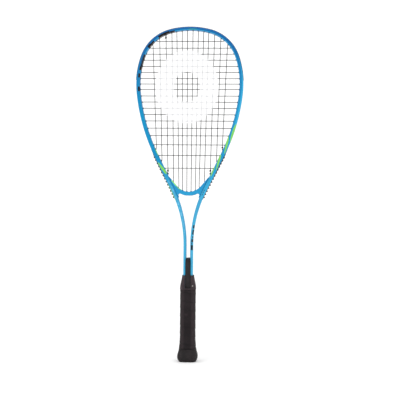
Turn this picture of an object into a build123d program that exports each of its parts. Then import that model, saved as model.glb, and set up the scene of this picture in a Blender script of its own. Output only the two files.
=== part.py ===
from build123d import *
import math
import os

# Squash racket, standing on its butt end.  Millimetres, +Z up the shafts to the head,
# strings in the XZ plane, front face towards -Y, origin at the centre of the butt face.

# ---- driving dimensions -------------------------------------------------------------
TOP = 684.4                 # outside of the tube at the top of the head
DEPTH = 19.0                # tube depth, front to back
EDGE_R = 2.7                # rounding of the tube's long edges
WALL = 1.3                  # laminate thickness
SHAFT_END = 30.0            # lower end of the two shafts, inside the handle
# outside line of the tube from the top centre down: (radius, degrees turned)
OUTER_ARCS = ((166.5, 14.3), (84.9, 56.8), (175.7, 25.0), (382.0, 20.4))
OUTER_LINE = 78.6
OUTER_BACK = 247.6
# inside line: same turns, tube 6.4 wide at the top, 8.2 at the sides, 6 at the shafts
INNER_TOP = TOP - 6.4
INNER_ARCS = ((155.75, 14.3), (77.75, 56.8), (168.68, 25.0), (376.34, 20.4))
INNER_LINE = 69.33
INNER_BACK = 273.76
BACK_TURN = 26.5

GROOVE_D = 2.0              # string groove round the outside of the head
GROOVE_W = 5.6
GROOVE_LOW = 331.0
STRIP_T = 0.55              # grommet strip floor
STRIP_W = 5.4
STRIP_GAP = 0.05
PROUD = 0.6                 # bumper standing outside the tube

STRING_R = 0.6
WEAVE = 0.70                # string centre off the plane at each crossing
WEAVE_R = 14.0
LANE = 0.65                 # string centre below the outside line in the groove
LIFT = 1.3                  # a tail lies this much further out than the loops
LANE_Y = 1.3
BARREL_R = 1.6
BARREL_BORE = 1.0
HOLE_R = 1.75
TIE_BARREL_R = 2.5
TIE_BORE = 2.0
TIE_HOLE_R = 2.65
BARREL_OUT = 1.0            # barrel standing inside the head
BEND_IN = 2.3               # string bend inside the tube's inner face

# main strings: distance from the axis at two heights, centre pair first
MAIN_HIGH_Z = 640.0
MAIN_LOW_Z = 417.0
MAIN_HIGH = (5.5, 16.2, 26.9, 37.1, 49.3, 62.3, 76.2)
MAIN_LOW = (4.6, 13.8, 22.0, 32.5, 44.2, 56.2, 66.8)
CROSS_Z = (
    655.6, 641.7, 629.4, 617.1, 604.2, 592.1, 579.2, 568.1, 557.0, 543.5,
    531.0, 518.3, 505.3, 492.2, 477.4, 462.0, 443.4, 421.6, 395.4,
)
YOKE_EXIT_Z = {3: 337.5, 4: 350.0}   # where the third and fourth mains leave the tube

YOKE_TOP = 347.3
YOKE_TOP_R = 32.0
YOKE_TOP_TURN = 49.5
YOKE_WING = 41.0
YOKE_LOW = 339.2
YOKE_LOW_R = 40.0
YOKE_SKIRT = 1.5
YOKE_SKIRT_Z = 335.4
YOKE_DEPTH = 17.0
YOKE_RECESS = 1.6
YOKE_GAP = 0.1

BUMPER_Z = 576.0
SHOULDER_Z = 433.5
RIB_PROUD, RIB_LONG, RIB_PITCH = 2.5, 3.0, 7.0

PALLET_W, PALLET_D, PALLET_R = 27.4, 24.4, 6.0
PALLET_LOW, PALLET_TOP = 6.2, 149.0
COLLAR_LOW, COLLAR_TOP = 147.5, 176.5
GRIP_LOW, GRIP_TOP = 26.3, 147.2
CAP_FLARE_TOP, CAP_SKIRT_TOP = 26.0, 44.0
FLARE_END = 52.0

parts = {}
os.makedirs("parts", exist_ok=True)


# ---- the planar outlines ------------------------------------------------------------
def chain(top, arcs, line, back, inset):
    """Right half of an outline, top centre to shaft, moved inwards by inset."""
    x, z, h = 0.0, top, 0.0
    pieces = []
    turns = [(r, math.radians(a), 1) for r, a in arcs]
    turns.append((line, 0.0, 0))
    turns.append((back, math.radians(BACK_TURN), -1))
    for size, turn, side in turns:
        if side == 0:
            p0 = (x, z, h)
            x += size * math.cos(h)
            z -= size * math.sin(h)
            pieces.append((p0, p0, (x, z, h)))
            continue
        marks = []
        for share in (0.0, 0.5, 1.0):
            g = h + side * turn * share
            reach = 2 * size * math.sin(turn * share / 2)
            m = h + side * turn * share / 2
            marks.append((x + reach * math.cos(m), z - reach * math.sin(m), g))
        pieces.append(tuple(marks))
        x, z, h = marks[2]
    moved = []
    for piece in pieces:
        moved.append([(px - inset * math.sin(g), pz - inset * math.cos(g)) for px, pz, g in piece])
    return moved


def half_edges(pieces, sign, low):
    """Edges of one half, from the top centre to the height low."""
    edges = []
    for index, (a, m, b) in enumerate(pieces):
        p = Vector(sign * a[0], 0, a[1])
        q = Vector(sign * b[0], 0, b[1])
        if index == len(pieces) - 2:
            edges.append(Edge.make_line(p, q))
        else:
            edges.append(Edge.make_three_point_arc(p, Vector(sign * m[0], 0, m[1]), q))
    last = pieces[-1][2]
    edges.append(Edge.make_line(Vector(sign * last[0], 0, last[1]), Vector(sign * last[0], 0, low)))
    return edges


def slab(pieces, low, y_half):
    """Everything inside an outline, down to low, as a slab about the string plane."""
    right = half_edges(pieces, 1, low)
    left = half_edges(pieces, -1, low)
    end = pieces[-1][2][0]
    base = Edge.make_line(Vector(end, 0, low), Vector(-end, 0, low))
    face = Face(Wire(right + [base] + left))
    return extrude(face, amount=y_half, dir=(0, 1, 0), both=True)


def outer(inset):
    return chain(TOP, OUTER_ARCS, OUTER_LINE, OUTER_BACK, inset)


def inner(inset):
    return chain(INNER_TOP, INNER_ARCS, INNER_LINE, INNER_BACK, inset)


def layer(outside, inside, y_half):
    """Layer between two insets of the outside line."""
    return slab(outer(outside), 40, y_half) - slab(outer(inside), 20, y_half + 1)


def between(z0, z1, x0=-150, x1=150):
    return Pos((x0 + x1) / 2, 0, (z0 + z1) / 2) * Box(x1 - x0, 60, z1 - z0)


# ---- points along an outline --------------------------------------------------------
def walk(pieces, shares):
    """Points down the right half of an outline, with a set count on each piece."""
    marks = []
    for index, (a, m, b) in enumerate(pieces):
        count = shares[index]
        if index == len(pieces) - 2:
            for i in range(count):
                t = i / count
                marks.append((a[0] + t * (b[0] - a[0]), a[1] + t * (b[1] - a[1])))
            continue
        chord = math.dist(a, b)
        sag = math.dist(m, ((a[0] + b[0]) / 2, (a[1] + b[1]) / 2))
        radius = chord * chord / 8 / sag + sag / 2
        mx, mz = (a[0] + b[0]) / 2, (a[1] + b[1]) / 2
        cx = m[0] + (mx - m[0]) * radius / sag
        cz = m[1] + (mz - m[1]) * radius / sag
        t0 = math.atan2(a[1] - cz, a[0] - cx)
        t1 = math.atan2(b[1] - cz, b[0] - cx)
        turn = (t1 - t0 + math.pi) % (2 * math.pi) - math.pi
        for i in range(count):
            t = t0 + turn * i / count
            marks.append((cx + radius * math.cos(t), cz + radius * math.sin(t)))
    last = pieces[-1][2]
    marks.append(last)
    return marks


STEP = 0.25
TURNS = [size * math.radians(turn) for size, turn in OUTER_ARCS]
TURNS += [OUTER_LINE, OUTER_BACK * math.radians(BACK_TURN)]
COUNTS = [round(length / STEP) for length in TURNS]
LANE_PTS = walk(outer(LANE), COUNTS)
TAIL_PTS = walk(outer(LANE - LIFT), COUNTS)
BEND_PTS = walk(inner(BEND_IN), COUNTS)


def nearest(points, p):
    return min(range(len(points)), key=lambda i: math.dist(points[i], p))


def meet(points, p, d, lowest=False):
    """Index of the point where the line from p along d meets the outline."""
    found = []
    for i in range(1, len(points)):
        a = (points[i - 1][0] - p[0]) * d[1] - (points[i - 1][1] - p[1]) * d[0]
        b = (points[i][0] - p[0]) * d[1] - (points[i][1] - p[1]) * d[0]
        ahead = (points[i][0] - p[0]) * d[0] + (points[i][1] - p[1]) * d[1]
        if a * b <= 0 and ahead > 0:
            found.append(i)
    return found[0]


# ---- where each string passes through the tube --------------------------------------
def main_x(k, z):
    slope = (MAIN_HIGH[k - 1] - MAIN_LOW[k - 1]) / (MAIN_HIGH_Z - MAIN_LOW_Z)
    return MAIN_HIGH[k - 1] - slope * (MAIN_HIGH_Z - z)


def port(p, d, lean=0.5):
    """Bend point and exit index for a string that runs from p along d to the tube.

    lean 0 drills square to the tube, lean 1 drills in line with the string."""
    bend = BEND_PTS[meet(BEND_PTS, p, d)]
    straight = meet(LANE_PTS, p, d)
    square = nearest(LANE_PTS, bend)
    return bend, square + round(lean * (straight - square))


def beyond(bend, exit_at, sign, y):
    """Point on the hole's line where a tail lies over the loops."""
    a = Vector(sign * bend[0], y, bend[1])
    b = Vector(sign * LANE_PTS[exit_at][0], y, LANE_PTS[exit_at][1])
    over = TAIL_PTS[exit_at]
    n = Vector(sign * over[0], y, over[1]) - b
    way = (b - a).normalized()
    return b + way * (n.length / way.dot(n.normalized()))


def yoke_top(x):
    turn = math.radians(YOKE_TOP_TURN)
    edge = YOKE_TOP_R * math.sin(turn)
    if abs(x) <= edge:
        return YOKE_TOP + YOKE_TOP_R - math.sqrt(YOKE_TOP_R ** 2 - x * x)
    return YOKE_TOP + YOKE_TOP_R * (1 - math.cos(turn)) + (abs(x) - edge) * math.tan(turn)


def yoke_low(x):
    return YOKE_LOW + YOKE_LOW_R - math.sqrt(YOKE_LOW_R ** 2 - x * x)


LOW_LEAN = {5: 0.5, 6: 0.4, 7: 0.25}
MAIN_TOP = {}
MAIN_END = {}
for k in range(1, 8):
    middle = (main_x(k, 520.0), 520.0)
    up = (main_x(k, 620.0) - middle[0], 100.0)
    MAIN_TOP[k] = port(middle, up, 0.25 if k == 7 else 0.5)
    if k >= 5:
        MAIN_END[k] = port(middle, (-up[0], -up[1]), LOW_LEAN[k])
for k in (3, 4):
    z = yoke_top(MAIN_LOW[k - 1]) + 2.0
    exit_at = min(range(len(LANE_PTS)), key=lambda i: abs(LANE_PTS[i][1] - YOKE_EXIT_Z[k]))
    MAIN_END[k] = ((main_x(k, z), z), exit_at)
CROSS_END = {}
for j, z in enumerate(CROSS_Z):
    CROSS_END[j] = port((0.0, z), (1.0, 0.0), 0.2 if j == 0 else 0.5)


# ---- tube ---------------------------------------------------------------------------
def drill(bend, exit_at, radius, sign, before, after):
    """Cylinder through the tube along a string hole."""
    a = Vector(sign * bend[0], 0, bend[1])
    b = Vector(sign * LANE_PTS[exit_at][0], 0, LANE_PTS[exit_at][1])
    way = (b - a).normalized()
    start = a - way * before
    length = (b - a).length + before + after
    return Plane(origin=start, z_dir=way) * Cylinder(radius, length, align=(Align.CENTER, Align.CENTER, Align.MIN))


PORTS = []
for sign in (-1, 1):
    for k in range(1, 8):
        PORTS.append(("main_top", k, sign, MAIN_TOP[k]))
        if k >= 3:
            PORTS.append(("main_end", k, sign, MAIN_END[k]))
    for j in range(len(CROSS_Z)):
        PORTS.append(("cross", j, sign, CROSS_END[j]))


def is_tie(name, number, sign):
    if name == "main_end" and number == 5:
        return True
    if name == "main_end" and number == 7 and sign > 0:
        return True
    return name == "main_top" and number == 5 and sign < 0


tube = slab(outer(0), SHAFT_END, DEPTH / 2) - slab(inner(0), SHAFT_END - 10, DEPTH)
long_edges = [
    e for e in tube.edges()
    if abs(abs(e.center().Y) - DEPTH / 2) < 0.01 and e.bounding_box().size.Y < 0.01
    and e.center().Z > SHAFT_END + 1
]
tube = fillet(long_edges, EDGE_R)
hollow = slab(outer(WALL), SHAFT_END - 5, DEPTH / 2 - WALL)
hollow -= slab(inner(-WALL), SHAFT_END - 10, DEPTH)
floor_half = GROOVE_W / 2 + WALL
hollow -= layer(-1, GROOVE_D + WALL, floor_half) & between(GROOVE_LOW - WALL, 700)
tube -= hollow
groove = layer(-5, GROOVE_D, GROOVE_W / 2) & between(GROOVE_LOW, 700)
tube -= groove
holes = []
for name, number, sign, (bend, exit_at) in PORTS:
    radius = TIE_HOLE_R if is_tie(name, number, sign) else HOLE_R
    holes.append(drill(bend, exit_at, radius, sign, 0.0, 3.0))
tube -= holes
foot_half = inner(0)[-1][2][0] + 0.6
tube += Pos(0, 0, SHAFT_END + 1.5) * Box(2 * foot_half, 12.0, 3.0)
parts["frame_tube"] = tube


# ---- grommet strips and the bumper --------------------------------------------------
def strip(z0, z1, rail, proud, x0=-150, x1=150):
    """Strip in the groove; rail is the half width of the flange outside the tube."""
    zone = between(z0, z1, x0, x1)
    floor = layer(GROOVE_D - STRIP_GAP - STRIP_T, GROOVE_D - STRIP_GAP, STRIP_W / 2)
    walls = layer(-proud, GROOVE_D - STRIP_GAP, STRIP_W / 2)
    walls -= slab(outer(-20), 10, STRIP_W / 2 - 0.5)
    body = floor + walls
    if rail:
        rails = layer(-proud, -STRIP_GAP, rail) - slab(outer(-20), 10, STRIP_W / 2 - 0.5)
        body = body + rails
    body = body & zone
    bores = []
    for name, number, sign, (bend, exit_at) in PORTS:
        z = LANE_PTS[exit_at][1]
        if not z0 < z < z1 or not x0 < sign * LANE_PTS[exit_at][0] < x1:
            continue
        tie = is_tie(name, number, sign)
        short = BEND_IN - BARREL_OUT
        if name == "main_end" and number in (3, 4):
            gap = math.dist(bend, LANE_PTS[exit_at])
            short = gap - (9.5 if number == 3 else 10.5)
        trim = LANE - (GROOVE_D - STRIP_GAP)
        barrel = drill(bend, exit_at, TIE_BARREL_R if tie else BARREL_R, sign, -short, trim)
        body = body + barrel
        bores.append(drill(bend, exit_at, TIE_BORE if tie else BARREL_BORE, sign, 2.0, 2.0))
    body = body - bores
    return body


parts["head_bumper"] = strip(BUMPER_Z, 700, 6.3, PROUD)
parts["left_side_grommets"] = strip(SHOULDER_Z + 0.5, BUMPER_Z - 0.5, 0, -0.1, -150, 0)
parts["right_side_grommets"] = strip(SHOULDER_Z + 0.5, BUMPER_Z - 0.5, 0, -0.1, 0, 150)


def guard_ribs(sign):
    """Raised ribs across the shoulder flanges, either side of the string channel."""
    skin = layer(-RIB_PROUD, -STRIP_GAP - 0.1, 4.6) - slab(outer(-20), 10, STRIP_W / 2 - 0.5)
    cells = []
    gone = 0.0
    for i in range(1, len(LANE_PTS) - 1):
        a, b = LANE_PTS[i - 1], LANE_PTS[i + 1]
        gone += math.dist(LANE_PTS[i - 1], LANE_PTS[i])
        if not GROOVE_LOW + 4 < LANE_PTS[i][1] < SHOULDER_Z - 15 or gone < RIB_PITCH:
            continue
        gone = 0.0
        way = Vector(sign * (b[0] - a[0]), 0, b[1] - a[1])
        at = Plane(origin=(sign * LANE_PTS[i][0], 0, LANE_PTS[i][1]), x_dir=way, z_dir=(0, 1, 0))
        cells.append(at * Box(RIB_LONG, 8, 12))
    return skin & Compound(children=cells)


parts["left_shoulder_grommets"] = strip(GROOVE_LOW + 0.5, SHOULDER_Z - 0.5, 4.6, 0.5, -150, 0) + guard_ribs(-1)
parts["right_shoulder_grommets"] = strip(GROOVE_LOW + 0.5, SHOULDER_Z - 0.5, 4.6, 0.5, 0, 150) + guard_ribs(1)


# ---- yoke ---------------------------------------------------------------------------
def yoke_face_edges():
    turn = math.radians(YOKE_TOP_TURN)
    edge = YOKE_TOP_R * math.sin(turn)
    rise = YOKE_TOP + YOKE_TOP_R * (1 - math.cos(turn))
    return edge, rise


edge_x, edge_z = yoke_face_edges()
far = 60.0
cut_high = Face(Wire([
    Edge.make_three_point_arc((-edge_x, 0, edge_z), (0, 0, YOKE_TOP), (edge_x, 0, edge_z)),
    Edge.make_line((edge_x, 0, edge_z), (far, 0, yoke_top(far))),
    Edge.make_line((far, 0, yoke_top(far)), (-far, 0, yoke_top(far))),
    Edge.make_line((-far, 0, yoke_top(far)), (-edge_x, 0, edge_z)),
]))
yoke = slab(inner(YOKE_GAP), 300, YOKE_DEPTH / 2) & between(YOKE_SKIRT_Z, 377.0)
yoke -= extrude(cut_high, amount=30, dir=(0, 1, 0), both=True)
arch = slab(inner(YOKE_GAP + YOKE_SKIRT), 290, 30)
under = Face(Wire([
    Edge.make_three_point_arc((-30, 0, yoke_low(30)), (0, 0, YOKE_LOW), (30, 0, yoke_low(30))),
    Edge.make_line((30, 0, yoke_low(30)), (30, 0, 280)),
    Edge.make_line((30, 0, 280), (-30, 0, 280)),
    Edge.make_line((-30, 0, 280), (-30, 0, yoke_low(30))),
]))
arch = arch & extrude(under, amount=30, dir=(0, 1, 0), both=True)
corners = [
    e for e in arch.edges()
    if e.bounding_box().size.X < 0.01 and e.bounding_box().size.Z < 0.01 and e.center().Z > 335
]
arch = fillet(corners, 3.2)
yoke -= arch
yoke_edges = [
    e for e in yoke.edges()
    if abs(abs(e.center().Y) - YOKE_DEPTH / 2) < 0.01 and e.bounding_box().size.Y < 0.01
    and abs(e.center().X) < 20 and YOKE_LOW - 1 < e.center().Z < 352
]
yoke = fillet(yoke_edges, 1.2)
low_band = extrude(under, amount=GROOVE_W / 2, dir=(0, 1, 0), both=True)
lift_band = Pos(0, 0, YOKE_RECESS) * low_band
recess = lift_band & between(335, 352, -19.0, 19.0)
yoke -= recess
yoke_holes = []
for sign in (-1, 1):
    for k in (1, 2):
        a = Vector(sign * main_x(k, 335), 0, 335)
        b = Vector(sign * main_x(k, 365), 0, 365)
        bore = Cylinder(HOLE_R, 30, align=(Align.CENTER, Align.CENTER, Align.MIN))
        yoke_holes.append(Plane(origin=a, z_dir=(b - a).normalized()) * bore)
    for k in (3, 4):
        bend, exit_at = MAIN_END[k]
        yoke_holes.append(drill(bend, exit_at, HOLE_R, sign, 4.0, 0.0))
yoke -= yoke_holes
parts["throat_yoke"] = yoke

floor_z = YOKE_RECESS - STRIP_GAP
yoke_strip = Pos(0, 0, floor_z) * low_band - Pos(0, 0, floor_z - STRIP_T) * low_band
yoke_strip = yoke_strip & between(335, 352, -18.7, 18.7)
yoke_strip = yoke_strip & (Pos(0, 0, 345) * Box(60, STRIP_W, 30))
for sign in (-1, 1):
    for k in (1, 2):
        x0 = main_x(k, 343)
        z0 = yoke_low(x0) + floor_z - 0.1
        z1 = yoke_top(x0) + BARREL_OUT
        a = Vector(sign * main_x(k, z0), 0, z0)
        b = Vector(sign * main_x(k, z1), 0, z1)
        sleeve = Cylinder(BARREL_R, (b - a).length, align=(Align.CENTER, Align.CENTER, Align.MIN))
        yoke_strip = yoke_strip + Plane(origin=a, z_dir=(b - a).normalized()) * sleeve
for sign in (-1, 1):
    for k in (1, 2):
        a = Vector(sign * main_x(k, 335), 0, 335)
        b = Vector(sign * main_x(k, 365), 0, 365)
        bore = Cylinder(BARREL_BORE, 30, align=(Align.CENTER, Align.CENTER, Align.MIN))
        yoke_strip = yoke_strip - Plane(origin=a, z_dir=(b - a).normalized()) * bore
parts["yoke_grommets"] = yoke_strip


# ---- strings ------------------------------------------------------------------------
def cord(stations):
    """Round cord through (point, bend radius) stations: straight runs and tangent arcs."""
    edges = []
    here = stations[0][0]
    for i in range(1, len(stations) - 1):
        p, radius = stations[i]
        one = p - stations[i - 1][0]
        two = stations[i + 1][0] - p
        a, b = one.normalized(), two.normalized()
        turn = math.acos(max(-1.0, min(1.0, a.dot(b))))
        if turn < 0.002:
            continue
        room = 0.47 * min(one.length, two.length)
        reach = min(radius * math.tan(turn / 2), room)
        radius = reach / math.tan(turn / 2)
        start, end = p - a * reach, p + b * reach
        inward = (b - a).normalized()
        middle = p + inward * (radius / math.cos(turn / 2) - radius)
        edges.append(Edge.make_line(here, start))
        edges.append(Edge.make_three_point_arc(start, middle, end))
        here = end
    edges.append(Edge.make_line(here, stations[-1][0]))
    path = Wire(edges)
    first = stations[0][0]
    ring = Plane(origin=first, z_dir=(stations[1][0] - first).normalized()) * Circle(STRING_R)
    return sweep(ring, path=path)


def spot(points, i, sign, y):
    return Vector(sign * points[i][0], y, points[i][1])


def groove_run(sign, i, j, lane_y, other=None):
    """Stations in the groove from exit i to exit j; other is the far side's sign."""
    runs = []
    far_sign = sign if other is None else other
    path = []
    if far_sign == sign:
        step = 1 if j > i else -1
        path = [(sign, m) for m in range(i + step, j, step)]
    else:
        path = [(sign, m) for m in range(i - 1, 0, -1)] + [(far_sign, m) for m in range(1, j)]
    count = len(path)
    ends = min(12, count // 3)
    picks = [ends]
    inside = count - 2 * ends
    cuts = max(1, round(inside / 36))
    for c in range(1, cuts + 1):
        picks.append(ends + round(inside * c / cuts) - (1 if c == cuts else 0))
    for index in picks:
        side, m = path[min(index, count - 1)]
        runs.append((spot(LANE_PTS, m, side, lane_y), 4.0))
    return runs


def tail_run(sign, first, last, lane_y):
    """Stations of a tail lying over the loops, from one port to the tie-off port."""
    i, j = first[1], last[1]
    step = 1 if j > i else -1
    count = abs(j - i)
    runs = [(beyond(first[0], i, sign, 0.0), 1.3)]
    cuts = max(1, round((count - 24) / 36))
    for c in range(cuts + 1):
        m = i + step * (12 + round((count - 24) * c / cuts))
        runs.append((spot(TAIL_PTS, m, sign, lane_y), 4.0))
    runs.append((beyond(last[0], j, sign, lane_y), 1.3))
    return runs


def weave_sign(sign, k, j):
    column = 7 - k if sign < 0 else 6 + k
    return 1 if (column + j) % 2 == 0 else -1


def crossed(k, j):
    z = CROSS_Z[j]
    low = MAIN_END[k][0][1] if k >= 3 else yoke_top(main_x(k, 345))
    return low + 3 < z < MAIN_TOP[k][0][1] - 3


def main_stations(sign, k, upward):
    """One main from its lower bend to its upper bend, woven over and under the crosses."""
    bend_low = MAIN_END[k][0] if k >= 3 else None
    run = []
    if bend_low:
        run.append((Vector(sign * bend_low[0], 0, bend_low[1]), 4.0))
    else:
        z = yoke_top(main_x(k, 345)) + 2.5
        run.append((Vector(sign * main_x(k, z), 0, z), 14.0))
    for j in range(len(CROSS_Z) - 1, -1, -1):
        if crossed(k, j):
            y = WEAVE * weave_sign(sign, k, j)
            run.append((Vector(sign * main_x(k, CROSS_Z[j]), y, CROSS_Z[j]), WEAVE_R))
    bend = MAIN_TOP[k][0]
    run.append((Vector(sign * bend[0], 0, bend[1]), 4.0))
    return run if upward else run[::-1]


def low_exit(sign, k, y=0.0):
    if k >= 3:
        return (spot(LANE_PTS, MAIN_END[k][1], sign, y), 1.3)
    x = main_x(k, 341)
    return (Vector(sign * x, y, yoke_low(x) + 0.35), 1.3)


def top_exit(sign, k):
    return (spot(LANE_PTS, MAIN_TOP[k][1], sign, 0.0), 1.3)


def low_loop(sign, k, n):
    """Stations between the lower exits of mains k and n, end points left out."""
    if k >= 3:
        return groove_run(sign, MAIN_END[k][1], MAIN_END[n][1], -LANE_Y)
    middle = (main_x(1, 341) + main_x(2, 341)) / 2
    return [(Vector(sign * middle, 0, yoke_low(middle) + 0.30), 4.0)]


route = []
# left half, from its tie-off at the fifth main up to the centre loop over the head
hang = main_stations(-1, 5, True)
rise = (hang[1][0] - hang[0][0]).normalized()
tail_start = hang[0][0] + Vector(0, -1.25, 0)
route.append((tail_start + rise * 1.2, 1.0))
route.append((tail_start, 2.0))
route += tail_run(-1, MAIN_END[7], MAIN_END[5], -1.25)[::-1]
route += main_stations(-1, 7, True)
route.append(top_exit(-1, 7))
route += groove_run(-1, MAIN_TOP[7][1], MAIN_TOP[6][1], -LANE_Y)
for k in (6, 4, 2):
    route.append(top_exit(-1, k))
    route += main_stations(-1, k, False)
    route.append(low_exit(-1, k))
    route += low_loop(-1, k, k - 1)
    route.append(low_exit(-1, k - 1))
    route += main_stations(-1, k - 1, True)
    route.append(top_exit(-1, k - 1))
    if k > 2:
        route += groove_run(-1, MAIN_TOP[k - 1][1], MAIN_TOP[k - 2][1], -LANE_Y)
half = list(route)
route = half + groove_run(-1, MAIN_TOP[1][1], MAIN_TOP[1][1], -LANE_Y, 1)
for k in (1, 3, 5):
    route.append(top_exit(1, k))
    route += main_stations(1, k, False)
    route.append(low_exit(1, k))
    route += low_loop(1, k, k + 1)
    route.append(low_exit(1, k + 1))
    route += main_stations(1, k + 1, True)
    route.append(top_exit(1, k + 1))
    route += groove_run(1, MAIN_TOP[k + 1][1], MAIN_TOP[k + 2][1], -LANE_Y)
route.append(top_exit(1, 7))
route += main_stations(1, 7, False)
route += tail_run(1, MAIN_END[7], MAIN_END[5], -1.25)
hang_right = main_stations(1, 5, True)
rise_right = (hang_right[1][0] - hang_right[0][0]).normalized()
end_right = hang_right[0][0] + Vector(0, -1.25, 0)
route.append((end_right, 2.0))
route.append((end_right + rise_right * 1.2, 1.0))
parts["main_string"] = cord(route)


def cross_stations(j, rightward):
    run = []
    reach = CROSS_END[j][0][0]
    run.append((Vector(-reach, 0, CROSS_Z[j]), 4.0))
    columns = [(-1, k) for k in range(7, 0, -1)] + [(1, k) for k in range(1, 8)]
    for sign, k in columns:
        if crossed(k, j):
            y = -WEAVE * weave_sign(sign, k, j)
            run.append((Vector(sign * main_x(k, CROSS_Z[j]), y, CROSS_Z[j]), WEAVE_R))
    run.append((Vector(reach, 0, CROSS_Z[j]), 4.0))
    return run if rightward else run[::-1]


hang_top = main_stations(-1, 5, False)
drop = (hang_top[1][0] - hang_top[0][0]).normalized()
tail_top = hang_top[0][0] + Vector(0, 1.25, 0)
weft = [(tail_top + drop * 1.2, 1.0), (tail_top, 2.0)]
weft += tail_run(-1, CROSS_END[0], MAIN_TOP[5], 1.25)[::-1]
for j in range(len(CROSS_Z)):
    rightward = j % 2 == 0
    weft += cross_stations(j, rightward)
    if j < len(CROSS_Z) - 1:
        side = 1 if rightward else -1
        weft.append((spot(LANE_PTS, CROSS_END[j][1], side, 0.0), 1.3))
        weft += groove_run(side, CROSS_END[j][1], CROSS_END[j + 1][1], LANE_Y)
        weft.append((spot(LANE_PTS, CROSS_END[j + 1][1], side, 0.0), 1.3))
weft += tail_run(1, CROSS_END[len(CROSS_Z) - 1], MAIN_END[7], 1.25)
hang_seven = main_stations(1, 7, True)
rise_seven = (hang_seven[1][0] - hang_seven[0][0]).normalized()
end_seven = hang_seven[0][0] + Vector(0, 1.25, 0)
weft.append((end_seven, 2.0))
weft.append((end_seven + rise_seven * 0.6, 1.0))
parts["cross_string"] = cord(weft)


def knot(p, d, turns):
    """Half hitches pulled tight round the string that the tail is tied to."""
    body = None
    for i in range(turns):
        ring = Plane(origin=p + d * (1.05 * i), z_dir=d) * Torus(1.27, 0.6)
        body = ring if body is None else body + ring
    return body


knots = [
    knot(hang[0][0] + rise * 1.9, rise, 3),
    knot(hang_right[0][0] + rise_right * 1.9, rise_right, 3),
]
parts["main_string_knots"] = Compound(children=knots)
knots = [
    knot(hang_top[0][0] + drop * 1.9, drop, 3),
    knot(hang_seven[0][0] + rise_seven * 1.3, rise_seven, 2),
]
parts["cross_string_knots"] = Compound(children=knots)


# ---- handle -------------------------------------------------------------------------
def block(width, depth, radius, z0, z1):
    base = Plane.XY.offset(z0) * RectangleRounded(width, depth, radius)
    return extrude(base, amount=z1 - z0)


def blend(sections):
    """Body through rounded rectangles given as (height, width, depth, radius)."""
    faces = [Plane.XY.offset(z) * RectangleRounded(w, d, r) for z, w, d, r in sections]
    return loft(faces)


shaft_x = outer(0)[-1][2][0]
gap_x = inner(0)[-1][2][0]
pocket = block(2 * shaft_x + 0.6, DEPTH + 0.6, EDGE_R, SHAFT_END - 0.5, PALLET_TOP + 1)
pallet = block(PALLET_W, PALLET_D, PALLET_R, PALLET_LOW, PALLET_TOP) - pocket
parts["handle_shell_front"] = pallet & (Pos(0, -30.05, 100) * Box(80, 60, 400))
parts["handle_shell_back"] = pallet & (Pos(0, 30.05, 100) * Box(80, 60, 400))

core_half = gap_x - 0.25
core_low = SHAFT_END + 3.2
parts["shaft_core"] = Pos(0, 0, (core_low + 169.5) / 2) * Box(2 * core_half, 17.0, 169.5 - core_low)

nose = Pos(0, 0, 191.0) * Box(2 * core_half, 19.6, 42.0)
for sign in (-1, 1):
    corner = Face(Wire(Polyline(
        (sign * (core_half + 1), 0, 206.0), (sign * core_half, 0, 207.0), (sign * 2.6, 0, 212.0),
        (sign * 2.6, 0, 213.0), (sign * (core_half + 1), 0, 213.0),
        close=True,
    ).edges()))
    nose -= Pos(0, -15, 0) * extrude(corner, amount=30, dir=(0, 1, 0))
# front and back plates, lapping the shafts and running down inside the collar's notch
nose_side = (
    (6.0, 150.1), (6.0, 176.0), (4.9, 178.5), (4.9, 203.0), (4.7, 205.5), (4.0, 208.6), (2.6, 212.0),
)
nose_rim = [(-x, 0, z) for x, z in nose_side] + [(x, 0, z) for x, z in reversed(nose_side)]
nose_plan = Face(Wire(Polyline(*nose_rim, close=True).edges()))
for y in (-10.5, 9.7):
    plate = Pos(0, y, 0) * extrude(nose_plan, amount=0.8, dir=(0, 1, 0))
    nose = nose + plate
parts["throat_wedge"] = nose

collar = blend((
    (COLLAR_LOW, 32.6, 29.6, 9.0), (157.4, 30.9, 28.2, 8.6),
    (165.6, 27.5, 25.4, 7.6), (COLLAR_TOP, 24.0, 22.8, 6.6),
))
collar -= block(2 * shaft_x + 0.6, DEPTH + 0.6, EDGE_R, COLLAR_LOW - 1, COLLAR_TOP + 1)
collar -= block(PALLET_W + 0.3, PALLET_D + 0.3, PALLET_R, COLLAR_LOW - 1, PALLET_TOP + 0.2)
collar -= Pos(0, 0, 149.9 + 20) * Box(12.6, 60, 40)
tack_at = Pos(6.94, -5.56, 155.4) * Rot(0, 0, 18.9)
collar -= tack_at * Pos(0, -7.8, 0) * Rot(90, 0, 0) * Cylinder(0.85, 3.2)
parts["grip_collar"] = collar

# small dome-headed tack that pins the collar's overlap
tack = Pos(0, -7.7, 0) * Rot(90, 0, 0) * Cylinder(0.8, 2.9)
tack_head = Pos(0, -9.33, 0) * Rot(90, 0, 0) * Cylinder(1.3, 0.5)
parts["collar_tack"] = tack_at * (tack + fillet(tack_head.edges().group_by(Axis.Y)[0], 0.35))

grip = blend((
    (GRIP_LOW, 35.4, 32.6, 10.5), (34.4, 33.9, 31.0, 10.0), (42.6, 32.6, 29.6, 9.4),
    (FLARE_END, 32.0, 29.0, 9.0),
))
grip += block(32.0, 29.0, 9.0, FLARE_END - 0.01, GRIP_TOP)
grip -= block(PALLET_W + 0.3, PALLET_D + 0.3, PALLET_R, GRIP_LOW - 1, GRIP_TOP + 1)
grip -= block(PALLET_W + 2.6, PALLET_D + 2.6, PALLET_R + 1, GRIP_LOW - 1, CAP_SKIRT_TOP + 0.3)
parts["grip_wrap"] = grip

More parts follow.
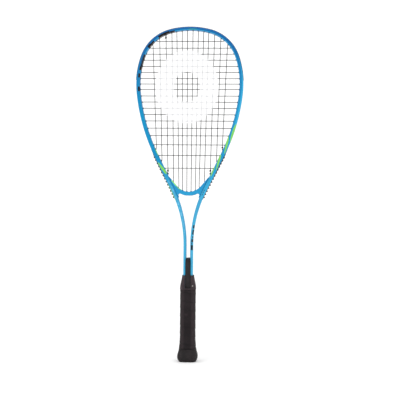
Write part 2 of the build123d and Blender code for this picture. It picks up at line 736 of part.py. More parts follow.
cap = blend((
    (0.0, 33.4, 30.6, 9.5), (3.6, 38.6, 35.8, 11.5), (9.8, 41.5, 38.6, 12.5),
    (18.0, 38.9, 36.0, 11.8), (CAP_FLARE_TOP, 35.6, 32.8, 10.6),
))
cap += block(PALLET_W + 2.2, PALLET_D + 2.2, PALLET_R + 1, CAP_FLARE_TOP - 0.5, CAP_SKIRT_TOP)
cap -= block(PALLET_W + 0.3, PALLET_D + 0.3, PALLET_R, PALLET_LOW - 0.2, CAP_SKIRT_TOP + 1)
badge = block(22.0, 19.0, 6.0, 0.0, 0.75)
cap -= block(22.4, 19.4, 6.2, -1.0, 0.85)
parts["butt_cap"] = cap
parts["butt_badge"] = badge

for name, shape in parts.items():
    export_step(shape, "parts/" + name + ".step")
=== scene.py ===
import math

import bmesh
import bpy
import numpy as np
from mathutils import Matrix, Vector


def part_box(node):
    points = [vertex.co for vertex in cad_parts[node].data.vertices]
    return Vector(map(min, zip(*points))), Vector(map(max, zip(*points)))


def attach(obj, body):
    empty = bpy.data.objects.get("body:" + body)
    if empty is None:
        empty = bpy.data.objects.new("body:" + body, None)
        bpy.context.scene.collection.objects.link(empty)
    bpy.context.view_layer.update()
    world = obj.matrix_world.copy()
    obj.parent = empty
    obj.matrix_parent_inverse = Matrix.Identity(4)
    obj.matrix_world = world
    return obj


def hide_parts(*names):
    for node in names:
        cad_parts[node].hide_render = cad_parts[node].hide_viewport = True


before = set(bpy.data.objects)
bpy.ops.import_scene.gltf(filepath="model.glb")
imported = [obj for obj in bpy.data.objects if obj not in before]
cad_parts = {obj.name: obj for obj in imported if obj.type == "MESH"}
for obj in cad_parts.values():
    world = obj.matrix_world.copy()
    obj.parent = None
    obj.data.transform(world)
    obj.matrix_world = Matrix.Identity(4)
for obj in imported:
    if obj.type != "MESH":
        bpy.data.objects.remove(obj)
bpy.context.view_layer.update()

MM = 0.001

# ---- the racket's driving dimensions, in millimetres, as in the solids ----------------
OUTER_ARCS = ((166.5, 14.3), (84.9, 56.8), (175.7, 25.0), (382.0, 20.4))
OUTER_LINE = 78.6
OUTER_BACK = 247.6
INNER_ARCS = ((155.75, 14.3), (77.75, 56.8), (168.68, 25.0), (376.34, 20.4))
INNER_LINE = 69.33
INNER_BACK = 273.76
BACK_TURN = 26.5
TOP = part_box("frame_tube")[1].z / MM
SHAFT_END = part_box("frame_tube")[0].z / MM
TOP_WIDTH = 6.4
GROOVE_D = 2.0
GROOVE_LOW = 331.0
STRING_R = 0.68
MAIN_HIGH_Z, MAIN_LOW_Z = 640.0, 417.0
MAIN_HIGH = (5.5, 16.2, 26.9, 37.1, 49.3, 62.3, 76.2)
MAIN_LOW = (4.6, 13.8, 22.0, 32.5, 44.2, 56.2, 66.8)
CROSS_Z = (
    655.6, 641.7, 629.4, 617.1, 604.2, 592.1, 579.2, 568.1, 557.0, 543.5,
    531.0, 518.3, 505.3, 492.2, 477.4, 462.0, 443.4, 421.6, 395.4,
)
WEAVE = 0.68
LANE = 0.65
LIFT = 1.3
LANE_Y = 1.3
TAIL_Y = 1.25
BEND_IN = 2.3


# ---- camera: a lens about 1.9 m off, a little to the racket's right ------------------
def add_camera():
    data = bpy.data.cameras.new("camera")
    camera = bpy.data.objects.new("camera", data)
    bpy.context.scene.collection.objects.link(camera)
    distance = 1.90
    azimuth = math.radians(3.2)
    roll = math.radians(-0.5)
    height_seen = 0.820
    aim = Vector((0.0229, 0.0, 0.3305))
    back = Vector((math.sin(azimuth), -math.cos(azimuth), 0.0))
    camera.location = aim + back * distance
    turn = (-back).to_track_quat("-Z", "Y").to_matrix() @ Matrix.Rotation(-roll, 3, "Z")
    camera.rotation_euler = turn.to_euler()
    data.sensor_width = 36.0
    data.lens = 18.0 / (height_seen / 2 / distance)
    data.clip_start, data.clip_end = 0.05, 50.0
    bpy.context.scene.camera = camera


add_camera()


# ---- planar outlines -----------------------------------------------------------------
def outline(top, arcs, line, back, step=1.0):
    """Right half from the top centre to the shaft's end: points and headings."""
    x, z, h = 0.0, top, 0.0
    rows = [(x, z, h)]
    pieces = [(r, math.radians(a), 1) for r, a in arcs]
    pieces += [(line, 0.0, 0), (back, math.radians(BACK_TURN), -1)]
    for size, turn, side in pieces:
        length = size * turn if side else size
        count = max(2, round(length / step))
        for i in range(1, count + 1):
            share = i / count
            if side:
                reach = 2 * size * math.sin(turn * share / 2)
                mid = h + side * turn * share / 2
                rows.append((x + reach * math.cos(mid), z - reach * math.sin(mid), h + side * turn * share))
            else:
                rows.append((x + size * share * math.cos(h), z - size * share * math.sin(h), h))
        x, z, h = rows[-1]
    count = max(2, round((z - SHAFT_END) / (step * 3)))
    for i in range(1, count + 1):
        rows.append((x, z + (SHAFT_END - z) * i / count, math.pi / 2))
    return np.array(rows)


OUTER = outline(TOP, OUTER_ARCS, OUTER_LINE, OUTER_BACK)
INNER = outline(TOP - TOP_WIDTH, INNER_ARCS, INNER_LINE, INNER_BACK)
ALONG = np.concatenate(([0.0], np.cumsum(np.hypot(*np.diff(OUTER[:, :2], axis=0).T))))


def inward(row):
    """Unit normal of an outline row, pointing to the inside."""
    return np.array((-math.sin(row[2]), -math.cos(row[2])))


def ray_hit(p, n, points):
    """Distance from p along n to a polyline."""
    a, b = points[:-1, :2], points[1:, :2]
    d = b - a
    cross = n[0] * d[:, 1] - n[1] * d[:, 0]
    cross = np.where(np.abs(cross) < 1e-9, 1e-9, cross)
    q = a - p
    t = (q[:, 0] * d[:, 1] - q[:, 1] * d[:, 0]) / cross
    u = (q[:, 0] * n[1] - q[:, 1] * n[0]) / cross
    good = (u >= -1e-6) & (u <= 1 + 1e-6) & (t > 0.5)
    return float(t[good].min()) if good.any() else None


def tube_widths():
    widths = []
    for row in OUTER:
        hit = ray_hit(row[:2], inward(row), INNER)
        widths.append(hit if hit and hit < 12 else (widths[-1] if widths else TOP_WIDTH))
    return np.array(widths)


WIDTHS = tube_widths()


def along_at_z(z):
    """Length along the outer outline, from the top centre, where it is at height z."""
    return float(np.interp(-z, -OUTER[:, 1], ALONG))


def along_near(x, z):
    """The same where the outline is nearest to a point, negative on the left."""
    return math.copysign(ALONG[np.argmin(np.hypot(OUTER[:, 0] - abs(x), OUTER[:, 1] - z))], x)


# ---- mesh helpers --------------------------------------------------------------------
def new_object(name, vertices, faces, smooth=True):
    mesh = bpy.data.meshes.new(name)
    mesh.from_pydata([tuple(float(c) * MM for c in v) for v in vertices], [], faces)
    mesh.validate()
    if smooth:
        mesh.polygons.foreach_set("use_smooth", [True] * len(mesh.polygons))
    mesh.update()
    obj = bpy.data.objects.new(name, mesh)
    bpy.context.scene.collection.objects.link(obj)
    return obj


def face_out(obj):
    """Make all face normals point outwards."""
    bm = bmesh.new()
    bm.from_mesh(obj.data)
    bmesh.ops.recalc_face_normals(bm, faces=bm.faces)
    bm.to_mesh(obj.data)
    bm.free()
    obj.data.update()


def rings_mesh(name, rings, closed_ring=True, cap=True, loop=False):
    """Surface through rings of equal length, capped at both ends."""
    count = len(rings[0])
    vertices = [p for ring in rings for p in ring]
    faces = []
    last = len(rings) if loop else len(rings) - 1
    for r in range(last):
        a = r * count
        b = ((r + 1) % len(rings)) * count
        for i in range(count if closed_ring else count - 1):
            j = (i + 1) % count
            faces.append((a + i, a + j, b + j, b + i))
    if cap and not loop:
        faces.append(tuple(reversed(range(count))))
        end = (len(rings) - 1) * count
        faces.append(tuple(range(end, end + count)))
    return vertices, faces


def add_values(obj, name, values):
    layer = obj.data.attributes.new(name, "FLOAT", "POINT")
    layer.data.foreach_set("value", [float(v) for v in values])


def tube_along(points, radius, sides=10):
    """Closed round tube along a polyline, rings turned as little as possible."""
    pts = [Vector(p) for p in points]
    rings = []
    normal = None
    for i, p in enumerate(pts):
        before = pts[max(i - 1, 0)]
        after = pts[min(i + 1, len(pts) - 1)]
        way = (after - before).normalized()
        if normal is None:
            normal = way.orthogonal().normalized()
        normal = (normal - way * normal.dot(way)).normalized()
        other = way.cross(normal)
        rings.append([
            p + radius * (math.cos(math.tau * k / sides) * normal + math.sin(math.tau * k / sides) * other)
            for k in range(sides)
        ])
    return rings_mesh("", rings)


def soften(points, reach=1.2, steps=4):
    """Round the corners of a polyline with short curves."""
    pts = [Vector(p) for p in points]
    out = [pts[0]]
    for i in range(1, len(pts) - 1):
        a, p, b = pts[i - 1], pts[i], pts[i + 1]
        one, two = p - a, b - p
        if one.length < 1e-6 or two.length < 1e-6 or one.angle(two) < 0.06:
            out.append(p)
            continue
        cut = min(reach, one.length * 0.45, two.length * 0.45)
        s, e = p - one.normalized() * cut, p + two.normalized() * cut
        for k in range(steps + 1):
            t = k / steps
            out.append(s * (1 - t) ** 2 + p * 2 * t * (1 - t) + e * t * t)
    out.append(pts[-1])
    return out


# ---- shader helpers ------------------------------------------------------------------
def linear(r, g, b):
    """Linear colour from 0-255 display values."""
    def one(c):
        c /= 255
        return c / 12.92 if c <= 0.04045 else ((c + 0.055) / 1.055) ** 2.4
    return (one(r), one(g), one(b), 1.0)


class Shade:
    """A node material with short calls for the nodes used here."""

    def __init__(self, name, **settings):
        self.material = bpy.data.materials.new(name)
        self.material.use_nodes = True
        self.tree = self.material.node_tree
        self.shader = self.tree.nodes["Principled BSDF"]
        for key, value in settings.items():
            self.shader.inputs[key.replace("_", " ")].default_value = value
        self.coords = self.tree.nodes.new("ShaderNodeTexCoord").outputs["Object"]

    def put(self, socket, value):
        if isinstance(value, bpy.types.NodeSocket):
            self.tree.links.new(value, socket)
        else:
            socket.default_value = value

    def math(self, kind, a, b=0.0, c=0.0, clamp=False):
        node = self.tree.nodes.new("ShaderNodeMath")
        node.operation = kind
        node.use_clamp = clamp
        for socket, value in zip(node.inputs, (a, b, c)):
            self.put(socket, value)
        return node.outputs[0]

    def axis(self, index):
        node = self.tree.nodes.new("ShaderNodeSeparateXYZ")
        self.put(node.inputs[0], self.coords)
        return node.outputs[index]

    def value(self, name):
        node = self.tree.nodes.new("ShaderNodeAttribute")
        node.attribute_name = name
        return node.outputs["Fac"]

    def noise(self, scale, detail=2.0, rough=0.5, vector=None, stretch=None):
        node = self.tree.nodes.new("ShaderNodeTexNoise")
        self.put(node.inputs["Scale"], scale)
        self.put(node.inputs["Detail"], detail)
        self.put(node.inputs["Roughness"], rough)
        self.put(node.inputs["Vector"], self.stretched(vector or self.coords, stretch))
        return node.outputs[0]

    def cells(self, scale, feature="F1", stretch=None, randomness=1.0):
        node = self.tree.nodes.new("ShaderNodeTexVoronoi")
        node.feature = feature
        self.put(node.inputs["Scale"], scale)
        self.put(node.inputs["Randomness"], randomness)
        self.put(node.inputs["Vector"], self.stretched(self.coords, stretch))
        return node.outputs["Distance"]

    def stretched(self, vector, stretch):
        if not stretch:
            return vector
        node = self.tree.nodes.new("ShaderNodeMapping")
        self.put(node.inputs["Vector"], vector)
        node.inputs["Scale"].default_value = stretch
        return node.outputs[0]

    def ramp(self, value, low, high, a=0.0, b=1.0):
        """Smooth step of value from low to high, giving a to b."""
        node = self.tree.nodes.new("ShaderNodeMapRange")
        node.interpolation_type = "SMOOTHSTEP"
        for socket, number in zip(node.inputs, (value, low, high, a, b)):
            self.put(socket, number)
        return node.outputs[0]

    def mix(self, share, a, b, blend="MIX"):
        node = self.tree.nodes.new("ShaderNodeMix")
        node.data_type = "RGBA"
        node.blend_type = blend
        self.put(node.inputs[0], share)
        self.put(node.inputs[6], a)
        self.put(node.inputs[7], b)
        return node.outputs[2]

    def bump(self, height, strength, distance, normal=None):
        node = self.tree.nodes.new("ShaderNodeBump")
        self.put(node.inputs["Height"], height)
        node.inputs["Strength"].default_value = strength
        node.inputs["Distance"].default_value = distance
        if normal is not None:
            self.put(node.inputs["Normal"], normal)
        self.put(self.shader.inputs["Normal"], node.outputs[0])
        return node.outputs[0]

    def between(self, value, low, high, soft):
        up = self.ramp(value, low - soft, low + soft)
        down = self.ramp(value, high - soft, high + soft, 1.0, 0.0)
        return self.math("MULTIPLY", up, down)

    def colour(self, value):
        self.put(self.shader.inputs["Base Color"], value)

    def rough(self, value):
        self.put(self.shader.inputs["Roughness"], value)


# ---- materials -----------------------------------------------------------------------
def paint_base(shade):
    """Blue lacquer: deep over the head, lighter down the shafts."""
    z = shade.axis(2)
    deep = linear(0, 88, 152)
    middle = linear(0, 137, 185)
    light = linear(68, 168, 206)
    lower = shade.ramp(z, 0.30, 0.43, 1.0, 0.0)
    upper = shade.ramp(z, 0.50, 0.665)
    tone = shade.mix(upper, middle, deep)
    tone = shade.mix(lower, tone, light)
    flake = shade.noise(2600.0, 1.0)
    tone = shade.mix(shade.math("MULTIPLY", flake, 0.12), tone, linear(30, 160, 215))
    drift = shade.noise(28.0, 3.0)
    return shade.mix(shade.ramp(drift, 0.35, 0.75, 0.0, 0.14), tone, linear(2, 90, 160))


def frame_paint():
    shade = Shade("frame_lacquer", Coat_Weight=0.08, Coat_Roughness=0.12, Specular_IOR_Level=0.12)
    tone = paint_base(shade)
    along, across = shade.value("along"), shade.value("across")
    x = shade.axis(0)
    # painted highlight: the inner half of the tube lighter over the head top, on the side that turns to the
    # light
    ridge = shade.ramp(across, 0.68, 0.88)
    top_zone = shade.ramp(shade.axis(2), 0.55, 0.63)
    right = shade.ramp(x, -0.03, 0.03)
    top_highlight = shade.math("MULTIPLY", ridge, shade.math("MULTIPLY", top_zone, 0.6))
    tone = shade.mix(top_highlight, tone, linear(40, 184, 232))
    # painted highlight: the outer half of the tube lighter down the right side
    side_zone = shade.math("MULTIPLY", shade.between(shade.axis(2), 0.44, 0.60, 0.05), right)
    side_highlight = shade.math("MULTIPLY", shade.ramp(across, 0.30, 0.50, 1.0, 0.0), side_zone)
    tone = shade.mix(shade.math("MULTIPLY", side_highlight, 0.6), tone, linear(66, 184, 228))
    # painted highlight: the outer edge of the tube lighter at the lower right
    low_zone = shade.math("MULTIPLY", shade.between(shade.axis(2), 0.335, 0.385, 0.012), right)
    low_highlight = shade.math("MULTIPLY", shade.ramp(across, 0.25, 0.40, 1.0, 0.0), low_zone)
    tone = shade.mix(shade.math("MULTIPLY", low_highlight, 0.55), tone, linear(48, 186, 236))
    # painted shade: the inner wall of the hoop darker deep blue above the throat
    inner_side_shade = shade.ramp(across, 0.90, 0.97, 0.0, 0.55)
    inner_wall_shade = shade.math("MULTIPLY", inner_side_shade, shade.ramp(shade.axis(2), 0.39, 0.43))
    tone = shade.mix(inner_wall_shade, tone, linear(0, 84, 150))
    # mottled lighter streak down the middle of the left shoulder
    left_run = shade.between(along, -along_at_z(262), -along_at_z(372), 6.0)
    patch = shade.ramp(shade.noise(150.0, 3.0), 0.42, 0.62)
    middle_run = shade.between(across, 0.34, 0.66, 0.12)
    streak = shade.math("MULTIPLY", middle_run, shade.math("MULTIPLY", left_run, patch))
    tone = shade.mix(shade.math("MULTIPLY", streak, 0.55), tone, linear(140, 206, 238))
    # lime flashes: (from, to, centre at start, centre at end, half width)
    lime = linear(126, 206, 72)
    flashes = (
        (along_at_z(487), along_at_z(450), 0.02, 0.02, 0.45),
        (along_at_z(460), along_at_z(424), 0.98, 0.22, 0.24),
        (along_at_z(422), along_at_z(391), 0.95, 0.20, 0.24),
        (along_at_z(398), along_at_z(375), 0.98, 0.65, 0.16),
        (-along_at_z(406), -along_at_z(379.5), 0.18, 0.84, 0.30),
        (-along_at_z(430), -along_at_z(414), 0.94, 0.97, 0.08),
        (-along_at_z(364), -along_at_z(326), 0.04, 0.08, 0.07),
    )
    lean = shade.math("MULTIPLY_ADD", shade.math("ABSOLUTE", shade.axis(1)), 1300.0, -11.0)
    mask = None
    for start, end, first, last, half in flashes:
        span = end - start
        t = shade.math("DIVIDE", shade.math("SUBTRACT", shade.math("ADD", along, lean), start), span)
        centre = shade.math("MULTIPLY_ADD", t, last - first, first)
        bow = shade.math("MULTIPLY", shade.math("MULTIPLY", t, 4.0), shade.math("SUBTRACT", 1.0, t))
        room = shade.math("MULTIPLY", shade.math("POWER", shade.math("MAXIMUM", bow, 0.0), 0.6), half)
        off = shade.math("ABSOLUTE", shade.math("SUBTRACT", across, centre))
        inside = shade.ramp(shade.math("SUBTRACT", room, off), -0.02, 0.02)
        inside = shade.math("MULTIPLY", inside, shade.math("GREATER_THAN", bow, 0.0))
        mask = inside if mask is None else shade.math("MAXIMUM", mask, inside)
    tone = shade.mix(shade.math("MULTIPLY", mask, 0.93), tone, lime)
    crown_side = shade.between(across, 0.60, 0.88, 0.06)
    crown = shade.math("MULTIPLY", shade.between(along, -3.0, 14.0, 2.5), crown_side)
    tone = shade.mix(shade.math("MULTIPLY", crown, 0.45), tone, linear(70, 176, 130))
    # plain dark dashes on the inner half of the upper left side and along the right shaft
    ink = linear(18, 12, 16)
    dashes = (
        (along_near(-65, 663.5), along_near(-42, 673), 0.45, 1.3),
        (along_near(-43, 672.5), along_near(-32, 677), 0.70, 1.3),
        (along_near(-83.5, 640), along_near(-78.5, 647), 0.42, 1.3),
        (along_near(-79, 646.5), along_near(-73, 654.5), 0.66, 1.3),
        (along_near(-101, 595), along_near(-99.5, 603), 0.50, 1.3),
        (along_near(-99.7, 602.5), along_near(-92.5, 628), 0.70, 1.3),
        (along_near(-99.7, 602.5), along_near(-93, 627), 0.50, 0.60),
        (along_near(-103, 580.5), along_near(-103, 589), 0.45, 0.94),
        (along_near(-103, 552), along_near(-103, 561.5), 0.45, 0.94),
        (along_at_z(279), along_at_z(272), 0.03, 0.48),
        (along_at_z(269.5), along_at_z(259.5), 0.03, 0.48),
        (along_at_z(256.5), along_at_z(252), 0.03, 0.36),
        (along_at_z(250.5), along_at_z(244), 0.03, 0.62),
        (along_at_z(243), along_at_z(239.5), 0.30, 0.60),
        (along_at_z(238.5), along_at_z(228), 0.06, 0.72),
        (along_at_z(349.5), along_at_z(347), 0.45, 0.62),
        (along_at_z(345.5), along_at_z(343), 0.45, 0.62),
        (along_at_z(341.5), along_at_z(338.5), 0.45, 0.62),
    )
    mask = None
    for start, end, low, high in dashes:
        low_s, high_s = min(start, end), max(start, end)
        length_mask = shade.between(along, low_s, high_s, 0.25)
        one = shade.math("MULTIPLY", length_mask, shade.between(across, low, high, 0.02))
        mask = one if mask is None else shade.math("MAXIMUM", mask, one)
    tone = shade.mix(mask, tone, ink)
    shade.colour(tone)
    grain = shade.noise(900.0, 2.0)
    shade.rough(shade.ramp(grain, 0.3, 0.7, 0.26, 0.36))
    peel = shade.noise(240.0, 2.0)
    shade.bump(peel, 0.08, 0.0004)
    return shade.material


def yoke_paint():
    shade = Shade("yoke_plastic", Coat_Weight=0.12, Coat_Roughness=0.2, Specular_IOR_Level=0.2)
    x, z = shade.axis(0), shade.axis(2)
    # painted shade: the upper band of the yoke is darker than the lower, as light falls across its ridge
    tone = shade.mix(shade.ramp(z, 0.335, 0.375), linear(30, 150, 198), linear(20, 134, 190))
    drift = shade.noise(60.0, 3.0)
    tone = shade.mix(shade.ramp(drift, 0.35, 0.7, 0.0, 0.18), tone, linear(8, 116, 174))
    # lime edge along the upper side of the left wing, then round onto the curve
    down = shade.math("SUBTRACT", z, 0.3793)
    off = shade.math("ADD", shade.math("MULTIPLY", x, -0.7604), shade.math("MULTIPLY", down, -0.6494))
    run = shade.math("ADD", shade.math("MULTIPLY", x, -0.6494), shade.math("MULTIPLY", down, 0.7604))
    edge_run = shade.between(run, 0.0, 0.016, 0.0006)
    edge = shade.math("MULTIPLY", shade.between(off, 0.0300, 0.0336, 0.0002), edge_run)
    rim = shade.ramp(shade.math("ABSOLUTE", shade.axis(1)), 0.0050, 0.0060)
    tone = shade.mix(shade.math("MULTIPLY", edge, rim), tone, linear(142, 232, 96))
    squares = shade.math("ADD", shade.math("MULTIPLY", x, x), shade.math("MULTIPLY", down, down))
    reach = shade.math("SQRT", squares)
    bend_run = shade.between(x, -0.0242, -0.0160, 0.0008)
    bend = shade.math("MULTIPLY", shade.between(reach, 0.0300, 0.0335, 0.0003), bend_run)
    tone = shade.mix(shade.math("MULTIPLY", bend, rim), tone, linear(96, 190, 88))
    shade.colour(tone)
    shade.rough(shade.ramp(shade.noise(500.0, 2.0), 0.3, 0.7, 0.34, 0.46))
    shade.bump(shade.noise(1500.0, 2.0), 0.12, 0.0002)
    return shade.material


def moulded(name, dark, pale, rough, grain=1800.0, strength=0.25):
    shade = Shade(name, Specular_IOR_Level=0.3)
    drift = shade.noise(55.0, 4.0)
    rub = shade.noise(320.0, 3.0)
    tone = shade.mix(shade.ramp(drift, 0.35, 0.7), dark, pale)
    shade.colour(shade.mix(shade.ramp(rub, 0.55, 0.8, 0.0, 0.35), tone, pale))
    shade.rough(shade.ramp(rub, 0.3, 0.7, rough - 0.06, rough + 0.08))
    shade.bump(shade.noise(grain, 3.0), strength, 0.00025)
    return shade.material


def string_material():
    shade = Shade("string_multifilament", Specular_IOR_Level=0.12)
    twist = shade.value("twist")
    strands = shade.math("SINE", twist)
    tone = shade.mix(shade.ramp(strands, -0.6, 0.9), linear(8, 7, 9), linear(30, 28, 31))
    drift = shade.noise(90.0, 3.0)
    tone = shade.mix(shade.ramp(drift, 0.45, 0.72, 0.0, 0.5), tone, linear(58, 56, 60))
    # plain upright oval ring of pale ink on the front of the bed
    x, y, z = shade.axis(0), shade.axis(1), shade.axis(2)
    dx, dz = shade.math("ADD", x, 0.006), shade.math("SUBTRACT", z, 0.562)
    dz = shade.math("MULTIPLY", dz, 0.87)
    squares = shade.math("ADD", shade.math("MULTIPLY", dx, dx), shade.math("MULTIPLY", dz, dz))
    reach = shade.math("SQRT", squares)
    reach = shade.math("MULTIPLY_ADD", shade.noise(700.0, 3.0), 0.005, reach)
    oval = shade.ramp(reach, 0.0665, 0.0690, 1.0, 0.0)
    opening = shade.ramp(reach, 0.0285, 0.0305)
    front = shade.ramp(shade.math("MULTIPLY", y, -1.0), -0.0008, 0.0002)
    ink = shade.math("MULTIPLY", shade.math("MULTIPLY", oval, front), shade.math("MULTIPLY", opening, 0.92))
    shade.colour(shade.mix(ink, tone, linear(226, 226, 228)))
    shade.rough(shade.ramp(drift, 0.3, 0.7, 0.34, 0.5))
    shade.bump(strands, 0.5, 0.00008)
    return shade.material


def grip_material():
    shade = Shade("grip_tape", Sheen_Weight=0.03, Specular_IOR_Level=0.2)
    turn = shade.value("turn")
    drift = shade.noise(40.0, 4.0)
    rub = shade.noise(160.0, 4.0)
    tone = shade.mix(shade.ramp(drift, 0.35, 0.7), linear(17, 10, 13), linear(27, 19, 22))
    tone = shade.mix(shade.ramp(rub, 0.55, 0.8, 0.0, 0.3), tone, linear(62, 50, 53))
    # the handle's corners are coloured a little lighter than its flats
    corner = shade.between(shade.math("ABSOLUTE", shade.axis(0)), 0.0075, 0.0140, 0.0025)
    tone = shade.mix(shade.math("MULTIPLY", corner, 0.4), tone, linear(58, 48, 51))
    # painted shade: a dark line in the crease where each turn of tape laps the one below
    lap_shade = shade.math("MAXIMUM", shade.ramp(turn, 0.0, 0.09, 1.0, 0.0), shade.ramp(turn, 0.945, 1.0))
    shade.colour(shade.mix(shade.math("MULTIPLY", lap_shade, 0.9), tone, linear(8, 6, 7)))
    pores = shade.cells(950.0)
    pebble = shade.ramp(pores, 0.0, 0.6)
    shade.rough(shade.ramp(rub, 0.3, 0.7, 0.52, 0.68))
    fine = shade.bump(pebble, 0.35, 0.00025)
    shade.bump(shade.noise(90.0, 3.0), 0.25, 0.0008, fine)
    return shade.material


PAINT = frame_paint()
YOKE = yoke_paint()
BUMPER = moulded("bumper_plastic", linear(44, 47, 54), linear(96, 100, 108), 0.5)
GROMMET = moulded("grommet_plastic", linear(26, 27, 31), linear(62, 62, 68), 0.48)
STRING = string_material()
GRIP = grip_material()
COLLAR = moulded("collar_rubber", linear(46, 36, 40), linear(68, 54, 59), 0.62, 1400.0, 0.35)
WEDGE = moulded("wedge_rubber", linear(21, 16, 18), linear(36, 28, 31), 0.55, 1600.0, 0.3)
CAP = moulded("cap_rubber", linear(16, 10, 12), linear(29, 22, 24), 0.6, 1200.0, 0.4)
BADGE = moulded("badge_plastic", linear(30, 30, 33), linear(60, 60, 66), 0.35, 700.0, 0.2)
CORE = moulded("core_foam", linear(26, 23, 25), linear(44, 39, 42), 0.8, 700.0, 0.5)
FOAM = moulded("handle_foam", linear(164, 152, 120), linear(190, 178, 146), 0.8, 900.0, 0.5)


def tack_metal():
    shade = Shade("tack_metal", Metallic=0.85)
    lines = shade.noise(900.0, 3.0, stretch=(6.0, 1.0, 1.0))
    shade.colour(shade.mix(shade.ramp(lines, 0.3, 0.7), linear(132, 128, 124), linear(176, 172, 166)))
    shade.rough(shade.ramp(shade.noise(1500.0, 2.0), 0.3, 0.7, 0.30, 0.48))
    shade.bump(lines, 0.2, 0.0001)
    return shade.material


TACK = tack_metal()


def give(obj, material):
    obj.data.materials.clear()
    obj.data.materials.append(material)


def finish_piece(obj, material, slot, *nodes):
    give(obj, material)
    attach(obj, "root")
    if nodes:
        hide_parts(*nodes)


# ---- frame tube ----------------------------------------------------------------------
def tube_section(width, groove):
    """Half section, outer middle to inner middle: (inset from the outer line, y)."""
    w = width
    return (
        (groove, 0.0), (groove, -1.4), (groove, -2.60), (groove * 0.9, -2.78), (groove * 0.12, -2.84),
        (0.0, -3.10), (0.0, -4.4), (0.0, -5.7), (0.12, -6.5), (0.42, -7.3), (0.95, -8.0),
        (0.20 * w, -8.42), (0.32 * w, -8.92), (0.42 * w, -9.30), (0.475 * w, -9.47), (0.50 * w, -9.50),
        (0.525 * w, -9.47), (0.58 * w, -9.30), (0.68 * w, -8.92), (0.80 * w, -8.42),
        (w - 0.90, -7.95), (w - 0.42, -7.2), (w - 0.12, -6.3), (w, -5.2), (w, -3.5), (w, -1.8), (w, 0.0),
    )


def frame_tube():
    rows = []
    for sign in (-1, 1):
        order = range(len(OUTER) - 1, 0, -1) if sign < 0 else range(len(OUTER))
        for i in order:
            rows.append((sign, i))
    rings, along, across = [], [], []
    for sign, i in rows:
        x, z, h = OUTER[i]
        n = inward(OUTER[i])
        depth = GROOVE_D * min(1.0, max(0.0, (z - GROOVE_LOW) / 2.0))
        depth = max(depth, 0.0)
        half = tube_section(WIDTHS[i], depth)
        ring = [(a, y) for a, y in half] + [(a, -y) for a, y in half[-2:0:-1]]
        rings.append([(sign * (x + n[0] * a), y, z + n[1] * a) for a, y in ring])
        along += [sign * ALONG[i]] * len(ring)
        across += [a / WIDTHS[i] for a, y in ring]
    vertices, faces = rings_mesh("", rings)
    obj = new_object("frame_tube_lacquered", vertices, faces)
    face_out(obj)
    add_values(obj, "along", along)
    add_values(obj, "across", across)
    finish_piece(obj, PAINT, "frame_paint", "frame_tube")


frame_tube()


# ---- strings -------------------------------------------------------------------------
def main_x(k, z):
    slope = (MAIN_HIGH[k - 1] - MAIN_LOW[k - 1]) / (MAIN_HIGH_Z - MAIN_LOW_Z)
    return MAIN_HIGH[k - 1] - slope * (MAIN_HIGH_Z - z)


def inset(points, amount):
    return np.array([(r[0] - amount * math.sin(r[2]), r[1] - amount * math.cos(r[2])) for r in points])


LANE_PTS = inset(OUTER, LANE)
TAIL_PTS = inset(OUTER, LANE - LIFT)
BEND_PTS = inset(INNER, BEND_IN)


def meet(points, p, d):
    """Fractional index where the line from p along d first meets a polyline."""
    rel = points - np.array(p)
    side = rel[:, 0] * d[1] - rel[:, 1] * d[0]
    ahead = rel @ np.array(d)
    for i in range(1, len(points)):
        if side[i - 1] * side[i] <= 0 and ahead[i] > 0:
            gap = abs(side[i - 1]) + abs(side[i])
            return i - 1 + (abs(side[i - 1]) / gap if gap else 0.0)
    raise ValueError("no meeting point")


def at(points, index):
    low = int(math.floor(index))
    low = max(0, min(low, len(points) - 2))
    return points[low] + (points[low + 1] - points[low]) * (index - low)


def port(p, d, lean):
    bend = at(BEND_PTS, meet(BEND_PTS, p, d))
    straight = meet(LANE_PTS, p, d)
    square = float(np.argmin(np.hypot(*(LANE_PTS - bend).T)))
    return bend, square + lean * (straight - square)


def yoke_top(x):
    turn = math.radians(49.5)
    edge = 32.0 * math.sin(turn)
    if abs(x) <= edge:
        return 347.3 + 32.0 - math.sqrt(32.0 ** 2 - x * x)
    return 347.3 + 32.0 * (1 - math.cos(turn)) + (abs(x) - edge) * math.tan(turn)


def yoke_low(x):
    return 339.2 + 40.0 - math.sqrt(40.0 ** 2 - x * x)


MAIN_TOP, MAIN_END, CROSS_END = {}, {}, {}
for k in range(1, 8):
    middle = (main_x(k, 520.0), 520.0)
    up = (main_x(k, 620.0) - middle[0], 100.0)
    MAIN_TOP[k] = port(middle, up, 0.25 if k == 7 else 0.5)
    if k >= 5:
        MAIN_END[k] = port(middle, (-up[0], -up[1]), {5: 0.5, 6: 0.4, 7: 0.25}[k])
for k, exit_z in ((3, 337.5), (4, 350.0)):
    z = yoke_top(MAIN_LOW[k - 1]) + 2.0
    MAIN_END[k] = ((main_x(k, z), z), float(np.argmin(np.abs(LANE_PTS[:, 1] - exit_z))))
for j, z in enumerate(CROSS_Z):
    CROSS_END[j] = port((0.0, z), (1.0, 0.0), 0.2 if j == 0 else 0.5)


def spot(points, index, sign, y):
    p = at(points, index)
    return Vector((sign * p[0], y, p[1]))


def beyond(which, sign, y):
    """Where a tail turns, on the hole's line, outside the loops."""
    bend, index = which
    a, b = Vector((sign * bend[0], y, bend[1])), spot(LANE_PTS, index, sign, y)
    n = spot(TAIL_PTS, index, sign, y) - b
    way = (b - a).normalized()
    return b + way * (n.length / way.dot(n.normalized()))


def groove_run(sign, i, j, y, far=None):
    """Points along the groove between two exits, shifted to lane y between them."""
    far = sign if far is None else far
    total = abs(j - i) if far == sign else i + j
    steps = max(4, round(total / 2.0))
    out = []
    for n in range(1, steps):
        gone = total * n / steps
        side = sign
        index = i + gone * (1 if j > i else -1) if far == sign else i - gone
        if far != sign and index < 0:
            side, index = far, -index
        ease = min(1.0, gone / 3.2, (total - gone) / 3.2)
        shift = ease * ease * (3 - 2 * ease)
        out.append(spot(LANE_PTS, index, side, y * shift))
    return out


